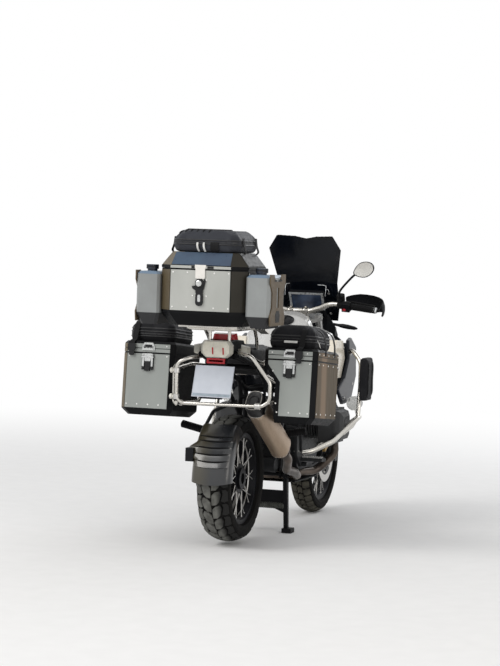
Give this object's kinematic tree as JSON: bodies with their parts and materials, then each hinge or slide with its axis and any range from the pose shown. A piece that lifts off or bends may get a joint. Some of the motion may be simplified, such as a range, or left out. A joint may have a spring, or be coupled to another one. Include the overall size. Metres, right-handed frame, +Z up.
{
  "type": "adventure motorcycle",
  "caption": "Large adventure touring motorcycle on its centre stand, loaded with metal side cases, a top case, canisters and soft bags.",
  "frame": {"origin": "on the floor, under the middle of the machine's outline", "axes": "+X forward, +Y to the rider's left, +Z up"},
  "size_m": [2.42, 1, 1.57],
  "materials": {
    "tyre": "matt black treaded rubber",
    "wheel_black": "black anodised rim and hub, bright spokes and steel discs",
    "cast_grey": "sand-cast light alloy, painted grey",
    "engine_cover": "machined and painted light alloy",
    "frame_black": "black powder coat over steel tube",
    "steel_bright": "brushed stainless tube",
    "silencer_steel": "heat-tinted brushed steel with a black end",
    "case_alloy": "grey anodised sheet with black corner strips and base",
    "lid_alloy": "dark grooved sheet lid",
    "canister_grey": "grey moulded canister with a black base and cap",
    "holder_bronze": "bronze anodised plate",
    "bag_black": "black coated woven cloth",
    "seat_black": "black grained seat cover",
    "tank_paint": "pale silver paint over a dark lower edge",
    "panel_beige": "pale beige paint",
    "shroud_blue": "blue-black paint",
    "plastic_black": "black grained moulding",
    "grip_rubber": "ribbed black rubber and moulded switch boxes",
    "smoke_screen": "dark smoked screen",
    "lamp_red": "red lamp lens",
    "lamp_clear": "clear lamp lens",
    "plate_white": "white, blank",
    "latch_steel": "bright latch plates with black levers",
    "fork_black": "black painted legs and bright upper tubes"
  },
  "bodies": {
    "chassis": {"swingarm": "cast_grey", "rear_shock": "frame_black", "engine_block": "cast_grey", "cylinders": "engine_cover", "frame": "frame_black", "tail_frame": "frame_black", "stand_hanger": "frame_black", "front_arm": "frame_black", "front_shock": "frame_black", "fuel_tank": "tank_paint", "tank_panels": "panel_beige", "shrouds": "shroud_blue", "seat": "seat_black", "tail_fairing": "plastic_black", "tail_lamp": "lamp_red", "clear_lamps": "lamp_clear", "number_plate": "plate_white", "luggage_rack": "steel_bright", "pannier_rack": "steel_bright", "pannier_left": "case_alloy", "pannier_right": "case_alloy", "top_case": "case_alloy", "latches": "latch_steel", "canisters": "canister_grey", "canister_holders": "holder_bronze", "exhaust_pipes": "silencer_steel", "silencer": "silencer_steel", "rear_hugger": "plastic_black", "engine_guards": "steel_bright", "guard_bags": "bag_black", "footrests": "steel_bright", "skid_plate": "frame_black", "windscreen": "smoke_screen", "front_fairing": "plastic_black", "front_lamps": "lamp_clear", "instrument": "plastic_black", "stand_bracket": "frame_black"},
    "rear_wheel": {"rear_tyre": "tyre", "rear_rim": "wheel_black"},
    "front_wheel": {"front_tyre": "tyre", "front_rim": "wheel_black"},
    "steering": {"fork": "fork_black", "fork_crown": "fork_black", "handlebar": "steel_bright", "bar_controls": "grip_rubber", "hand_guards": "plastic_black", "mirrors": "plastic_black", "front_mudguard": "plastic_black"},
    "left_lid": {"pannier_lid_left": "lid_alloy", "lid_bag_left": "bag_black"},
    "right_lid": {"pannier_lid_right": "lid_alloy", "lid_bag_right": "bag_black"},
    "top_lid": {"top_case_lid": "lid_alloy", "top_bag": "bag_black"},
    "centre_stand": {"centre_stand": "frame_black"},
    "side_stand": {"side_stand": "frame_black"}
  },
  "joints": [
    {"name": "rear_wheel_spin", "type": "hinge", "parent": "chassis", "child": "rear_wheel", "pos_m": [-0.62, 0, 0.333], "axis": [0, 1, 0], "continuous": true},
    {"name": "steering", "type": "hinge", "parent": "chassis", "child": "steering", "pos_m": [0.62419, 0, 0.78075], "axis": [-0.4147, 0, 0.91], "range_deg": [-36, 36]},
    {"name": "front_wheel_spin", "type": "hinge", "parent": "steering", "child": "front_wheel", "pos_m": [0.885, 0, 0.325], "axis": [0, 1, 0], "continuous": true},
    {"name": "left_lid_hinge", "type": "hinge", "parent": "chassis", "child": "left_lid", "pos_m": [-0.45925, 0.366, 0.91835], "axis": [0, 1, 0], "range_deg": [0, 95]},
    {"name": "right_lid_hinge", "type": "hinge", "parent": "chassis", "child": "right_lid", "pos_m": [-0.45925, -0.366, 0.91835], "axis": [0, 1, 0], "range_deg": [0, 95]},
    {"name": "top_lid_hinge", "type": "hinge", "parent": "chassis", "child": "top_lid", "pos_m": [-0.7815, 0, 1.384], "axis": [0, 1, 0], "range_deg": [0, 95]},
    {"name": "centre_stand_pivot", "type": "hinge", "parent": "chassis", "child": "centre_stand", "pos_m": [-0.1, 0, 0.31], "axis": [0, 1, 0], "range_deg": [0, 82]},
    {"name": "side_stand_pivot", "type": "hinge", "parent": "chassis", "child": "side_stand", "pos_m": [0.008, 0.198, 0.318], "axis": [0, -0.9511, -0.309], "range_deg": [0, 105]}
  ]
}
